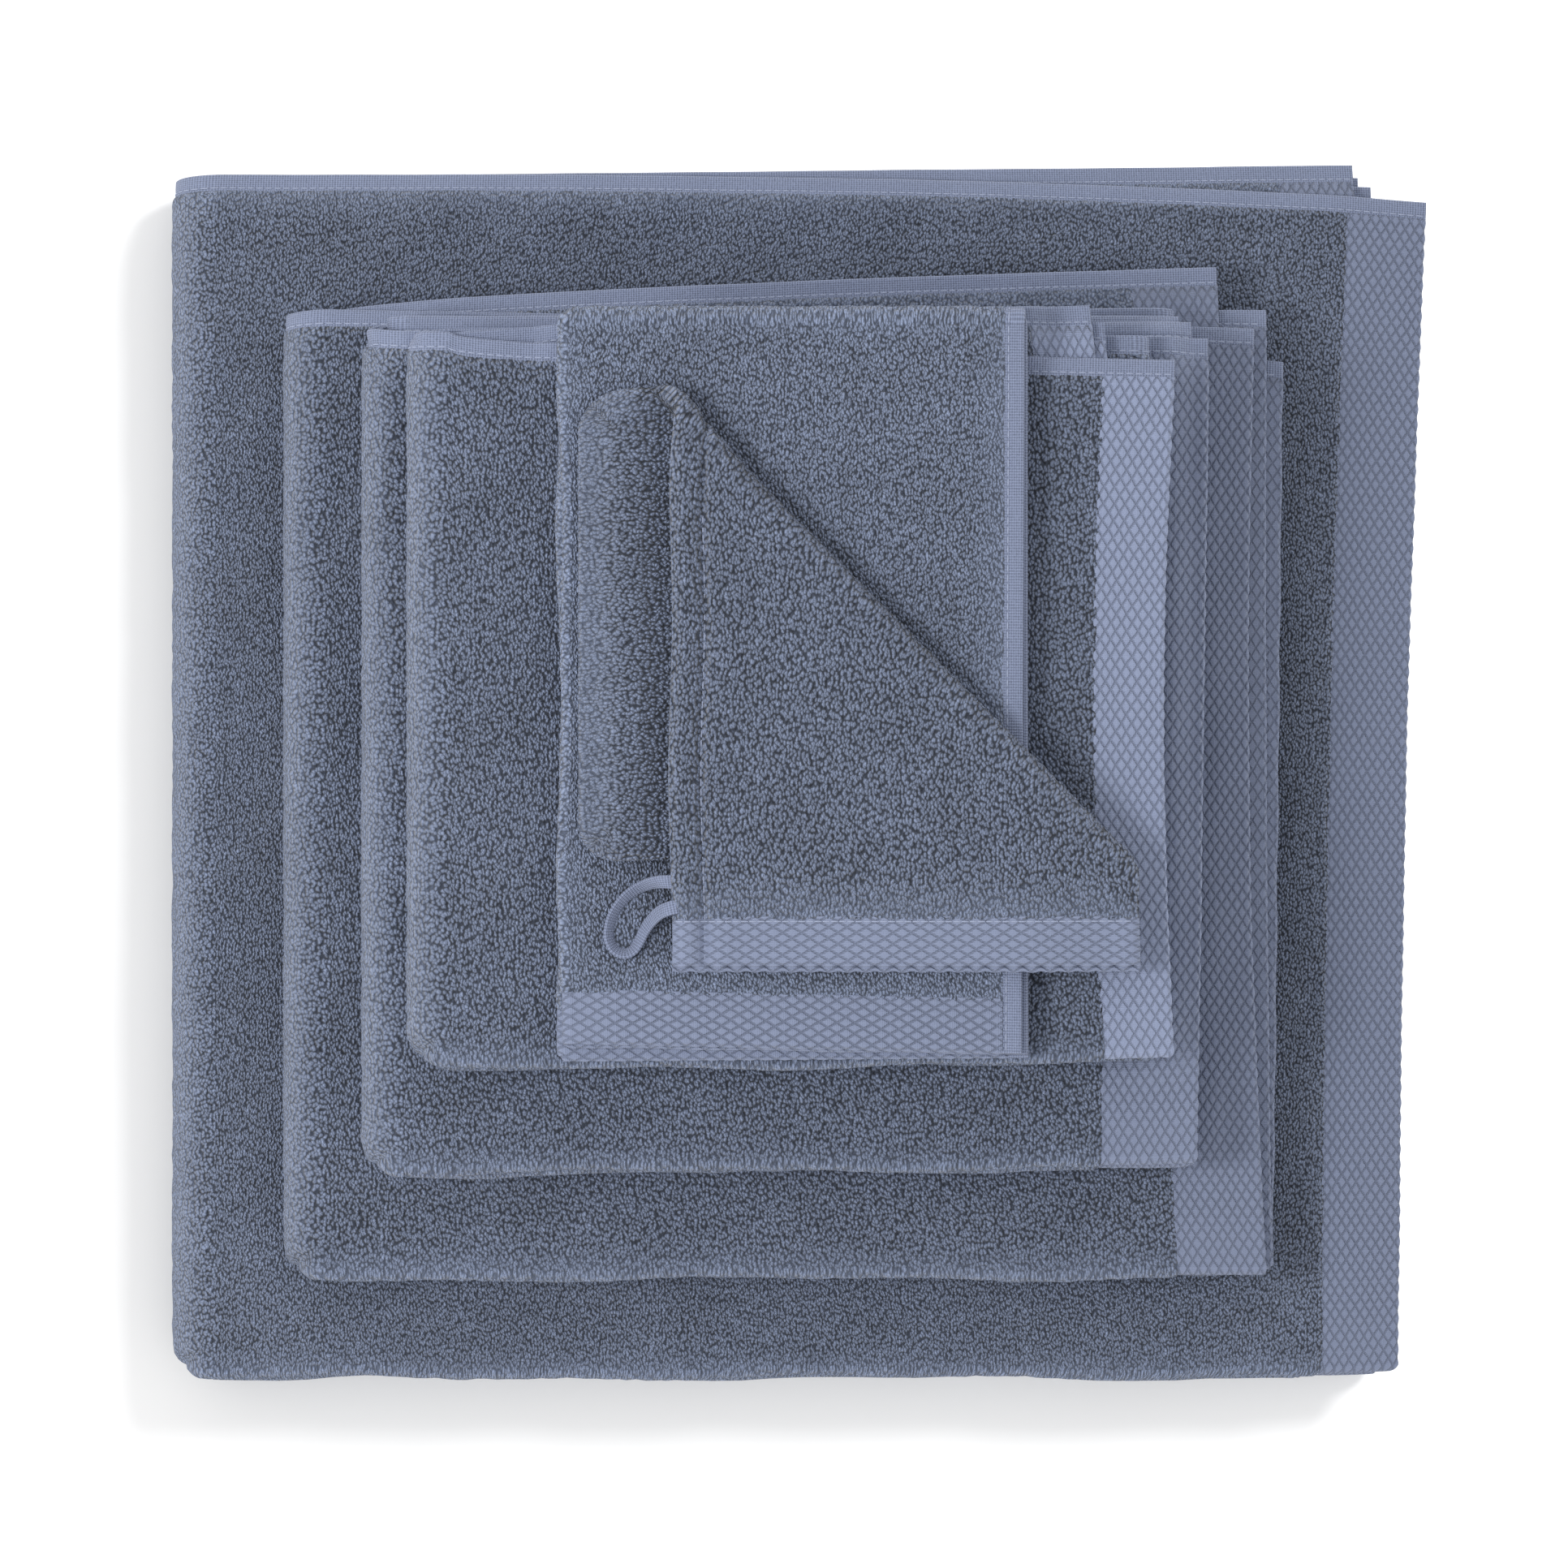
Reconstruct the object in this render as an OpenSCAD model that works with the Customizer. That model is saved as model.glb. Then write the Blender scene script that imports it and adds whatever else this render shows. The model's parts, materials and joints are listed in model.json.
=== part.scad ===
// Folded terry towel set: five towels stacked by size with a folded wash mitt on top.
// Millimetres. +Z is up, +X runs from the folds to the woven ends, +Y from the front fold to the hems.
// The origin is under the middle of the bath sheet, on the surface that the stack rests on.
// A book-folded towel is four leaves of two plies: the cloth is halved across its width, then
// folded in half twice along its length, so its left side shows nested turns.

/* [Bath sheet] */
// Folded length of the bath sheet along X
sheet_len = 452; // [430:1:470]
// Folded width of the bath sheet along Y
sheet_wid = 441; // [420:1:460]
// Height of one leaf of the bath sheet, which is two plies
sheet_leaf = 9; // [7.5:0.5:10]
// Width of the woven border at each end of the bath sheet
sheet_border = 29; // [20:1:36]

/* [Bath towel] */
// Folded length of the bath towel along X
bath_len = 347; // [330:1:360]
// Folded width of the bath towel along Y
bath_wid = 352; // [335:1:365]
// Height of one leaf of the bath towel
bath_leaf = 8.5; // [7.5:0.5:10]
// Width of the woven border at each end of the bath towel
bath_border = 32; // [20:1:36]
// How far the lower fold of the bath towel stands out past its upper end
bath_fan = 7; // [2:1:12]

/* [Medium towel] */
// Folded length of the medium towel along X
medium_len = 291; // [275:1:300]
// Folded width of the medium towel along Y
medium_wid = 292; // [280:1:300]
// Height of one leaf of the medium towel
medium_leaf = 8; // [7.5:0.5:10]
// Width of the woven border at each end of the medium towel
medium_border = 34; // [20:1:36]

/* [Hand towel] */
// Folded length of the hand towel along X
hand_len = 259; // [245:1:265]
// Folded width of the hand towel along Y
hand_wid = 250; // [240:1:258]
// Height of one leaf of the hand towel
hand_leaf = 7.5; // [7.5:0.5:10]
// Width of the woven border at each end of the hand towel
hand_border = 24; // [18:1:30]

/* [Guest towel] */
// Folded width of the guest towel along X
guest_wid = 156; // [148:1:160]
// Folded length of the guest towel along Y
guest_len = 251; // [240:1:258]
// Height of one leaf of the guest towel
guest_leaf = 7; // [6.5:0.5:9]
// Width of the woven border at each end of the guest towel
guest_border = 18; // [12:1:24]

/* [Wash mitt] */
// Width of the mitt across its mouth
mitt_wid = 155; // [145:1:165]
// Length of the mitt from its mouth to its closed end
mitt_len = 220; // [210:1:230]
// Thickness of one terry panel of the mitt
mitt_ply = 3.5; // [3:0.5:5]
// Width of the woven band round the mouth
mouth_band = 16; // [10:1:20]
// Distance of the side seam from the mitt's edge
seam_inset = 10.5; // [8:0.5:14]
// Width of the hanging loop's tape
tape_wid = 4.8; // [4:0.2:6]
// Thickness of the hanging loop's tape
tape_thick = 1.6; // [1:0.2:2]

/* [Hems and thread] */
// Width of the plain hem along each long side
hem_wid = 7; // [5:0.5:9]
// Thickness of a hem or border, for each ply
hem_thick = 2.4; // [2:0.1:2.6]
// Width of a line of stitching
thread_wid = 0.8; // [0.6:0.1:1.2]
// Height of a line of stitching above the hem
thread_high = 0.5; // [0.3:0.1:0.5]

/* [Hidden] */
$fn = 48;
TERRY = "#6b7488";
BORDER = "#7f879f";
HEM = "#8a91aa";
THREAD = "#9ba2ba";
TAPE = "#848ba3";
// Free space between two leaves or two towels
gap = 0.3;
// Radius of the rounded front corners of a folded towel
corner = 14;

// Lowest point of each towel, from the one below it
bath_z = 4 * sheet_leaf;
medium_z = bath_z + 4 * bath_leaf;
hand_z = medium_z + 4 * medium_leaf;
guest_z = hand_z + 4 * hand_leaf;
mitt_z = guest_z + 2 * guest_leaf;
flap_z = mitt_z + 2 * mitt_ply;

// Left side and front fold of each towel in the stack
sheet_left = -sheet_len / 2;
sheet_front = -sheet_wid / 2;
bath_left = -181.5;
bath_front = -181;
medium_left = -150.5;
medium_front = -142;
hand_left = -132;
hand_front = -102;
guest_left = -79;
guest_front = -97;
mitt_left = -41.5;
mitt_front = -65.5;
// X plus Y is the same at every point of a 45 degree line: here at the outside of the diagonal fold
fold_sum = 82.5;
// X plus Y along the fold's own axis, which the cloth bends round
crease_sum = fold_sum - 2 * mitt_ply * sqrt(2);
// Height of that axis
crease_z = flap_z - gap / 2;
// How far short of that axis, in X plus Y, the flat part of each panel stops
crease_gap = 0.2;
// Depth of the closed end's rounded corners
tip_corner = 13;

// Route of the hanging loop: out of the side seam, down onto the guest towel, round and back
loop_route = [
    [-38.0, -37.6, 156.0],
    [-41.0, -37.6, 156.0],
    [-44.2, -37.6, 154.6],
    [-47.2, -38.0, 151.6],
    [-49.8, -38.8, 148.6],
    [-52.6, -40.0, 147.3],
    [-55.8, -42.2, 147.1],
    [-58.6, -45.2, 147.1],
    [-60.8, -48.8, 147.1],
    [-62.0, -52.8, 147.1],
    [-62.0, -56.8, 147.1],
    [-60.2, -60.2, 147.1],
    [-56.9, -61.6, 147.1],
    [-53.8, -60.2, 147.1],
    [-51.8, -57.0, 147.1],
    [-50.0, -53.4, 147.6],
    [-47.6, -50.2, 149.4],
    [-45.0, -47.8, 152.8],
    [-42.0, -46.4, 155.8],
    [-38.8, -45.6, 156.0]
];

// ---- Folded cloth in section -------------------------------------------------------------

// A straight stretch of cloth in a section
module straight(from, to, z, thick)
    translate([from, z - thick / 2])
        square([to - from, thick]);

// A half turn of cloth in a section: side is -1 for a turn to the left, 1 for the right
module turn(x, z, radius, thick, side)
    translate([x, z])
        intersection() {
            difference() {
                circle(radius + thick / 2);
                circle(radius - thick / 2);
            }
            translate([side < 0 ? -2 * radius - thick : 0, -2 * radius - thick])
                square([2 * radius + thick, 4 * radius + 2 * thick]);
        }

// The four leaves of a book fold. off moves the cloth towards its outer face, for one ply.
module book_fold(left, upper_end, second_end, fold, leaf, off, thick) {
    spine = left + 2 * leaf;
    straight(spine, upper_end, 3.5 * leaf + off, thick);
    straight(spine, second_end, 2.5 * leaf - off, thick);
    straight(spine, fold - leaf, 1.5 * leaf + off, thick);
    straight(spine, fold - leaf, 0.5 * leaf - off, thick);
    turn(spine, 2 * leaf, 1.5 * leaf + off, thick, -1);
    turn(spine, 2 * leaf, 0.5 * leaf - off, thick, -1);
    turn(fold - leaf, leaf, 0.5 * leaf + off, thick, 1);
}

// The two leaves of a single fold, with the turn at the far end
module single_fold(end, fold, leaf, off, thick) {
    straight(end, fold - leaf, 1.5 * leaf + off, thick);
    straight(end, fold - leaf, 0.5 * leaf - off, thick);
    turn(fold - leaf, leaf, leaf / 2 + off, thick, 1);
}

// One leaf of two plies joined by a turn at its folded edge
module ply_pair(edge, end, z, leaf, thick) {
    for (side = [-1, 1])
        straight(edge + leaf / 2, end, z + side * leaf / 4, thick);
    turn(edge + leaf / 2, z, leaf / 4, thick, -1);
}

// Outer shape of a stack of leaves whose folded edges are half round
module leaf_edges(edge, end, leaf, count) {
    translate([edge + leaf / 2, 0])
        square([end - edge - leaf / 2, count * leaf]);
    for (i = [0 : count - 1])
        translate([edge + leaf / 2, (i + 0.5) * leaf])
            circle(leaf / 2);
}

// Puts a section drawn in X and Z at y, running towards -Y
module along_y(y, length)
    translate([0, y, -gap / 2])
        rotate([90, 0, 0])
            linear_extrude(length)
                children();

// Puts a section drawn in Y and Z at x, running towards +X
module along_x(x, length)
    translate([x, 0, -gap / 2])
        rotate([90, 0, 90])
            linear_extrude(length)
                children();

// Points of an arc, in degrees
function arc(centre, radius, from, to, steps = 8) = [
    for (i = [0 : steps])
        let (a = from + (to - from) * i / steps)
            centre + radius * [cos(a), sin(a)]
];

// Seen from above: a rectangle whose corners on the folded edges are rounded
module footprint(left, right, front, back)
    polygon(concat(
        arc([left + corner, front + corner], corner, 180, 270),
        arc([right - corner / 2, front + corner / 2], corner / 2, 270, 360),
        [[right, back]],
        arc([left + corner / 2, back - corner / 2], corner / 2, 90, 180)
    ));

// ---- Parts of a book-folded towel --------------------------------------------------------

// Terry cloth of a book-folded towel, with a slit between the two plies of each leaf
module book_terry(left, front, len, wid, fan, leaf, border) {
    back = front + wid - hem_wid;
    upper_end = left + len - border;
    fold = left + len + fan;
    spine = left + 2 * leaf;
    difference() {
        intersection() {
            along_y(back, wid)
                book_fold(left, upper_end, upper_end + fan / 3, fold, leaf, 0, leaf - gap);
            along_x(left, len + 2 * fan)
                leaf_edges(front, back, leaf, 4);
            linear_extrude(4 * leaf)
                footprint(left, fold, front, back);
        }
        for (i = [0 : 3])
            translate([spine, front + leaf / 2, (i + 0.5) * leaf - gap])
                cube([fold - spine - leaf - (i < 2 ? 0 : border / 2), wid, gap]);
    }
}

// Woven bands across both ends, each of two plies joined at the front fold
module book_borders(left, front, len, wid, fan, leaf, border)
    for (i = [0, 1])
        along_x(left + len - border + i * fan / 3, border)
            ply_pair(front, front + wid - hem_wid, (3.5 - i) * leaf, leaf, hem_thick);

// Plain hems of both long sides, lying together along the back and following the fold
module book_hems(left, front, len, wid, fan, leaf)
    for (side = [-1, 1])
        along_y(front + wid, hem_wid)
            book_fold(left, left + len, left + len + fan / 3, left + len + fan,
                leaf, side * leaf / 4, hem_thick);

// Lines of stitching on the outer face of each hem
module book_stitching(left, front, len, wid, fan, leaf)
    for (side = [-1, 1])
        along_y(front + wid - hem_wid + 2 * thread_wid, thread_wid)
            book_fold(left, left + len, left + len + fan / 3, left + len + fan,
                leaf, side * (leaf / 4 + hem_thick / 2 + thread_high / 2), thread_high);

// ---- Bath sheet --------------------------------------------------------------------------

module bath_sheet_terry() color(TERRY)
    book_terry(sheet_left, sheet_front, sheet_len, sheet_wid, 0, sheet_leaf, sheet_border);

module bath_sheet_end_borders() color(BORDER)
    book_borders(sheet_left, sheet_front, sheet_len, sheet_wid, 0, sheet_leaf, sheet_border);

module bath_sheet_side_hems() color(HEM)
    book_hems(sheet_left, sheet_front, sheet_len, sheet_wid, 0, sheet_leaf);

module bath_sheet_stitching() color(THREAD)
    book_stitching(sheet_left, sheet_front, sheet_len, sheet_wid, 0, sheet_leaf);

// ---- Bath towel --------------------------------------------------------------------------

module bath_towel_terry() color(TERRY)
    translate([0, 0, bath_z])
        book_terry(bath_left, bath_front, bath_len, bath_wid, bath_fan, bath_leaf, bath_border);

module bath_towel_end_borders() color(BORDER)
    translate([0, 0, bath_z])
        book_borders(bath_left, bath_front, bath_len, bath_wid, bath_fan, bath_leaf, bath_border);

module bath_towel_side_hems() color(HEM)
    translate([0, 0, bath_z])
        book_hems(bath_left, bath_front, bath_len, bath_wid, bath_fan, bath_leaf);

module bath_towel_stitching() color(THREAD)
    translate([0, 0, bath_z])
        book_stitching(bath_left, bath_front, bath_len, bath_wid, bath_fan, bath_leaf);

// ---- Medium towel ------------------------------------------------------------------------

module medium_towel_terry() color(TERRY)
    translate([0, 0, medium_z])
        book_terry(medium_left, medium_front, medium_len, medium_wid, 0, medium_leaf, medium_border);

module medium_towel_end_borders() color(BORDER)
    translate([0, 0, medium_z])
        book_borders(medium_left, medium_front, medium_len, medium_wid, 0, medium_leaf,
            medium_border);

module medium_towel_side_hems() color(HEM)
    translate([0, 0, medium_z])
        book_hems(medium_left, medium_front, medium_len, medium_wid, 0, medium_leaf);

module medium_towel_stitching() color(THREAD)
    translate([0, 0, medium_z])
        book_stitching(medium_left, medium_front, medium_len, medium_wid, 0, medium_leaf);

// ---- Hand towel --------------------------------------------------------------------------

module hand_towel_terry() color(TERRY)
    translate([0, 0, hand_z])
        book_terry(hand_left, hand_front, hand_len, hand_wid, 0, hand_leaf, hand_border);

module hand_towel_end_borders() color(BORDER)
    translate([0, 0, hand_z])
        book_borders(hand_left, hand_front, hand_len, hand_wid, 0, hand_leaf, hand_border);

module hand_towel_side_hems() color(HEM)
    translate([0, 0, hand_z])
        book_hems(hand_left, hand_front, hand_len, hand_wid, 0, hand_leaf);

module hand_towel_stitching() color(THREAD)
    translate([0, 0, hand_z])
        book_stitching(hand_left, hand_front, hand_len, hand_wid, 0, hand_leaf);

// ---- Guest towel: folded once across its width and once along its length ------------------

guest_right = guest_left + guest_wid;
guest_back = guest_front + guest_len;

module guest_towel_terry() color(TERRY)
    translate([0, 0, guest_z])
        difference() {
            intersection() {
                along_x(guest_left, guest_wid - hem_wid)
                    single_fold(guest_front + guest_border, guest_back, guest_leaf, 0,
                        guest_leaf - gap);
                along_y(guest_back, guest_len)
                    leaf_edges(guest_left, guest_right, guest_leaf, 2);
            }
            for (i = [0, 1])
                translate([guest_left + guest_leaf / 2, guest_front, (i + 0.5) * guest_leaf - gap])
                    cube([guest_wid, guest_len - guest_leaf, gap]);
        }

module guest_towel_end_borders() color(BORDER)
    translate([0, 0, guest_z])
        for (i = [0, 1])
            along_y(guest_front + guest_border, guest_border)
                ply_pair(guest_left, guest_right - hem_wid, (i + 0.5) * guest_leaf, guest_leaf,
                    hem_thick);

module guest_towel_side_hems() color(HEM)
    translate([0, 0, guest_z])
        for (side = [-1, 1])
            along_x(guest_right - hem_wid, hem_wid)
                single_fold(guest_front, guest_back, guest_leaf, side * guest_leaf / 4, hem_thick);

module guest_towel_stitching() color(THREAD)
    translate([0, 0, guest_z])
        for (side = [-1, 1])
            along_x(guest_right - hem_wid + thread_wid, thread_wid)
                single_fold(guest_front, guest_back, guest_leaf,
                    side * (guest_leaf / 4 + hem_thick / 2 + thread_high / 2), thread_high);

// ---- Wash mitt: its closed end is turned under along a diagonal fold ---------------------

mitt_right = mitt_left + mitt_wid;
mitt_end = mitt_front + mitt_len;
band_top = mitt_front + mouth_band;

// Where a point of the flat mitt lands when it is turned under the diagonal fold
function turned(p) = [fold_sum - p[1], fold_sum - p[0]];

// Outline of the closed end, lying under the rest of the mitt
module tip_outline()
    polygon([
        for (p = concat(
            [[mitt_right, 2 * fold_sum - crease_sum + crease_gap - mitt_right]],
            arc([mitt_right - tip_corner, mitt_end - tip_corner], tip_corner, 0, 90),
            arc([mitt_left + tip_corner, mitt_end - tip_corner], tip_corner, 90, 180),
            [[mitt_left, 2 * fold_sum - crease_sum + crease_gap - mitt_left]]
        )) turned(p)
    ]);

// Outline of the part on top, between the mouth band and the diagonal fold
module flap_outline()
    polygon([
        [mitt_left, band_top],
        [mitt_right, band_top],
        [mitt_right, crease_sum - crease_gap - mitt_right],
        [mitt_left, crease_sum - crease_gap - mitt_left]
    ]);

// The half turn of one panel round the diagonal fold
module mitt_bend(radius)
    translate([crease_sum / 2, crease_sum / 2, 0])
        rotate([0, 0, 45])
            translate([0, (crease_sum - 2 * mitt_left) / sqrt(2), 0])
                rotate([90, 0, 0])
                    linear_extrude(mitt_wid * sqrt(2))
                        turn(0, crease_z, radius, mitt_ply - gap, 1);

module mitt_panel(z)
    translate([0, 0, z])
        linear_extrude(mitt_ply - gap)
            children();

module mitt_front_tip() color(TERRY) mitt_panel(mitt_z) tip_outline();

module mitt_back_tip() color(TERRY) mitt_panel(mitt_z + mitt_ply) tip_outline();

module mitt_front_fold() color(TERRY) mitt_bend(1.5 * mitt_ply);

module mitt_back_fold() color(TERRY) mitt_bend(0.5 * mitt_ply);

// Thread of the seam that joins the panels round the closed end, in the gap between them
module mitt_tip_seam() color(THREAD)
    translate([turned([mitt_right, mitt_end - seam_inset])[0], fold_sum - mitt_right + tip_corner,
            mitt_z + mitt_ply - gap])
        cube([thread_wid, mitt_wid - 2 * tip_corner, gap]);

module mitt_back_panel() color(TERRY) mitt_panel(flap_z) flap_outline();

module mitt_front_panel() color(TERRY) mitt_panel(flap_z + mitt_ply) flap_outline();

// Woven band round the mouth, on one panel
module mouth_band_strip(z)
    translate([mitt_left, mitt_front, z + (mitt_ply - gap - hem_thick) / 2])
        cube([mitt_wid, mouth_band, hem_thick]);

module mitt_back_mouth_band() color(BORDER) mouth_band_strip(flap_z);

module mitt_front_mouth_band() color(BORDER) mouth_band_strip(flap_z + mitt_ply);

// Thread of the side seams, in the gap between the two panels
module mitt_side_seam() color(THREAD)
    for (x = [mitt_left + seam_inset, mitt_right - seam_inset])
        translate([x - thread_wid / 2, band_top, flap_z + mitt_ply - gap])
            cube([thread_wid, crease_sum - x - thread_wid - band_top, gap]);

// Thread along the inner edge of the mouth band, on its outer faces
module mitt_band_stitching() color(THREAD)
    for (z = [flap_z + mitt_ply + (mitt_ply - gap + hem_thick) / 2,
              flap_z + (mitt_ply - gap - hem_thick) / 2 - gap])
        translate([mitt_left, band_top - 2 * thread_wid, z])
            cube([mitt_wid, thread_wid, gap]);

// Unit vector, and the direction of the route at point i
function unit(v) = v / norm(v);
function heading(route, i) =
    unit(route[min(i + 1, len(route) - 1)] - route[max(i - 1, 0)]);

// One flat tube swept along a route: an oval ring of points stands across it at each point
module flat_tube(route, wide, thick, sides = 8) {
    rings = len(route);
    points = [
        for (i = [0 : rings - 1])
            let (ahead = heading(route, i), across = unit(cross(ahead, [0, 0, 1])),
                up = cross(across, ahead))
                for (k = [0 : sides - 1])
                    let (a = 360 * (k + 0.5) / sides, reach = cos(180 / sides))
                        route[i] + across * cos(a) * wide / 2 / reach + up * sin(a) * thick / 2
    ];
    walls = [
        for (i = [0 : rings - 2], k = [0 : sides - 1])
            let (a = i * sides + k, b = i * sides + (k + 1) % sides)
                each [[a, b, b + sides], [a, b + sides, a + sides]]
    ];
    caps = [
        [for (k = [sides - 1 : -1 : 0]) k],
        [for (k = [0 : sides - 1]) (rings - 1) * sides + k]
    ];
    polyhedron(points, concat(walls, caps), convexity = 4);
}

module mitt_hanging_loop() color(TAPE) flat_tube(loop_route, tape_wid, tape_thick);

// ---- Every part, or the one that is asked for --------------------------------------------

bath_sheet_terry();
bath_sheet_end_borders();
bath_sheet_side_hems();
bath_sheet_stitching();
bath_towel_terry();
bath_towel_end_borders();
bath_towel_side_hems();
bath_towel_stitching();
medium_towel_terry();
medium_towel_end_borders();
medium_towel_side_hems();
medium_towel_stitching();
hand_towel_terry();
hand_towel_end_borders();
hand_towel_side_hems();
hand_towel_stitching();
guest_towel_terry();
guest_towel_end_borders();
guest_towel_side_hems();
guest_towel_stitching();
mitt_front_tip();
mitt_back_tip();
mitt_tip_seam();
mitt_front_fold();
mitt_back_fold();
mitt_front_panel();
mitt_back_panel();
mitt_front_mouth_band();
mitt_back_mouth_band();
mitt_side_seam();
mitt_band_stitching();
mitt_hanging_loop();
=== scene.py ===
import json
import math
import bpy
import numpy as np
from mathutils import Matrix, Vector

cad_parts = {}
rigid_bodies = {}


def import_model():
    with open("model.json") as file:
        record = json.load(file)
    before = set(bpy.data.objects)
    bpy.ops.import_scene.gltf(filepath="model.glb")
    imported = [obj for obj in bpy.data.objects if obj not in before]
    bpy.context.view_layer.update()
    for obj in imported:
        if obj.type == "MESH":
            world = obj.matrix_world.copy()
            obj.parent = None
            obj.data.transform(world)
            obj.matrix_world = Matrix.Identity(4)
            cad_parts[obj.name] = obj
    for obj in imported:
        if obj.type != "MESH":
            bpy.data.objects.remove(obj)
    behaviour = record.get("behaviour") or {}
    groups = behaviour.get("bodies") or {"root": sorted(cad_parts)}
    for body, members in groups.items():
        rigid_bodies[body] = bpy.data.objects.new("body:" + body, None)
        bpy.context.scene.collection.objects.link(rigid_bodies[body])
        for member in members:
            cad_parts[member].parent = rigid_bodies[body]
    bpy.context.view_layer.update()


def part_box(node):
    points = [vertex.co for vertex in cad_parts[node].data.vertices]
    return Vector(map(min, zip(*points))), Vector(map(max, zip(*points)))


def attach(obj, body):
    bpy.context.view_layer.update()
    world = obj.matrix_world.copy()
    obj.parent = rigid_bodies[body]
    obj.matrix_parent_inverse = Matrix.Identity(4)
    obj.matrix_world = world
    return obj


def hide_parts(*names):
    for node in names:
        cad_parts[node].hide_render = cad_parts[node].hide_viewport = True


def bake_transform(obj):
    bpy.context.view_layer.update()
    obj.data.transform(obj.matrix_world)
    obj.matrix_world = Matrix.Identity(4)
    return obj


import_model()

# Lengths below are in millimetres, and become metres where a mesh is made.
MM = 0.001
TAU = 2 * math.pi
# Gap left between layers that lie on each other.
SPARE = 0.3


def box(node):
    """A CAD node's box, in millimetres."""
    low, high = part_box(node)
    return [v / MM for v in low], [v / MM for v in high]


def smooth(t):
    t = np.clip(t, 0, 1)
    return t * t * (3 - 2 * t)


def bulge(t):
    """Height of a quarter round: 0 at its foot, 1 from t = 1 on."""
    return np.sqrt(1 - (1 - np.clip(t, 0, 1)) ** 2)


# ---- Camera ----

CAMERA_X = -4.1
CAMERA_Y = -5.4
CAMERA_HEIGHT = 1500
LENS = 93.8
SENSOR = 36

camera = bpy.data.objects.new("camera", bpy.data.cameras.new("camera"))
camera.data.lens = LENS
camera.data.sensor_width = SENSOR
camera.data.clip_end = 20
camera.location = (CAMERA_X * MM, CAMERA_Y * MM, CAMERA_HEIGHT * MM)
bpy.context.scene.collection.objects.link(camera)
bpy.context.scene.camera = camera


# ---- Meshes ----

# The pile opens over this width along a piece's outer edge, by this much at the edge itself, and
# gets painted light there: lighter, with less painted shade between its loops.
EDGE = 25.0
EDGE_PAINTED_LIGHT = 0.66
TUFT_SEED = 1


def make_mesh(name, points, faces, cloth, material, pressed=0.0):
    """A mesh object. Its cloth attribute is each vertex's place on the flat cloth, which the weaves
    follow, and how much painted light its pile gets where it opens: by the cloth's turn out of the
    level or by the nearness of the piece's outer edge, except where it is pressed. The terry paints
    such pile lighter, with less painted shade between its loops."""
    mesh = bpy.data.meshes.new(name)
    mesh.from_pydata((points * MM).tolist(), [], faces.tolist())
    normals = np.zeros(len(points) * 3)
    mesh.vertex_normals.foreach_get("vector", normals)
    # The pile gets painted light where the face turns sideways and near the piece's outer edge.
    tilt = 1 - np.abs(normals.reshape(-1, 3)[:, 2])
    seen = points[:, :2]
    inside = np.minimum(seen - seen.min(0), seen.max(0) - seen).min(1)
    painted_rim_light = np.maximum(tilt, EDGE_PAINTED_LIGHT * smooth(1 - inside / EDGE))
    cloth[:, 2] = (1 - pressed) * painted_rim_light
    flat = mesh.attributes.new("cloth", "FLOAT_VECTOR", "POINT")
    flat.data.foreach_set("vector", np.ascontiguousarray(cloth, dtype=np.float32).ravel())
    mesh.update()
    mesh.shade_smooth()
    mesh.materials.append(material)
    piece = bpy.data.objects.new(name, mesh)
    bpy.context.scene.collection.objects.link(piece)
    return piece


def shell(place, us, cross, thick, lift=None, tufts=0.0):
    """A closed sheet over the grid us by cross, thick(u, a) apart. lift moves both faces
    outwards, and tufts is how far the points of the pile stand up or down at random."""
    u, a = np.meshgrid(us, cross, indexing="ij")
    half = thick(u, a) / 2
    raised = 0 if lift is None else lift(u, a)
    rows, columns = u.shape
    uneven = np.random.default_rng(TUFT_SEED).uniform(-tufts, tufts, (2, *u.shape))
    uneven[:, (0, -1), :] = 0
    uneven[:, :, (0, -1)] = 0
    outer = place(u, a, half + raised + uneven[0]).reshape(-1, 3)
    inner = place(u, a, -half - raised - uneven[1]).reshape(-1, 3)
    number = np.arange(rows * columns).reshape(rows, columns)
    p, q = number[:-1, :-1].ravel(), number[1:, :-1].ravel()
    r, s = number[1:, 1:].ravel(), number[:-1, 1:].ravel()
    under = rows * columns
    top = np.stack([p, q, r, s], 1)
    bottom = np.stack([p, s, r, q], 1) + under
    loop = np.concatenate([
        number[:-1, 0], number[-1, :-1], number[:0:-1, -1], number[0, :0:-1],
    ])
    following = np.roll(loop, -1)
    rim = np.stack([following, loop, loop + under, following + under], 1)
    faces = np.concatenate([top, bottom, rim])
    points = np.concatenate([outer, inner])
    flat = np.stack([u.ravel(), a.ravel(), np.zeros(u.size)], 1)
    return points, faces_of(points, faces), np.concatenate([flat, flat])


def signed_volume(points, faces):
    """The volume that the faces enclose, positive when they look outwards."""
    a, b, c, d = (points[faces[:, i]] for i in range(4))
    one = np.einsum("ij,ij->i", a, np.cross(b, c)).sum()
    two = np.einsum("ij,ij->i", a, np.cross(c, d)).sum()
    return (one + two) / 6


def faces_of(points, faces):
    """The faces, turned over if they face inwards."""
    return faces if signed_volume(points, faces) > 0 else faces[:, ::-1]


def joined(parts):
    """Several closed shells as one mesh."""
    points, faces, flats, count = [], [], [], 0
    for part_points, part_faces, part_flat in parts:
        points.append(part_points)
        faces.append(part_faces + count)
        flats.append(part_flat)
        count += len(part_points)
    return np.concatenate(points), np.concatenate(faces), np.concatenate(flats)


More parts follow.
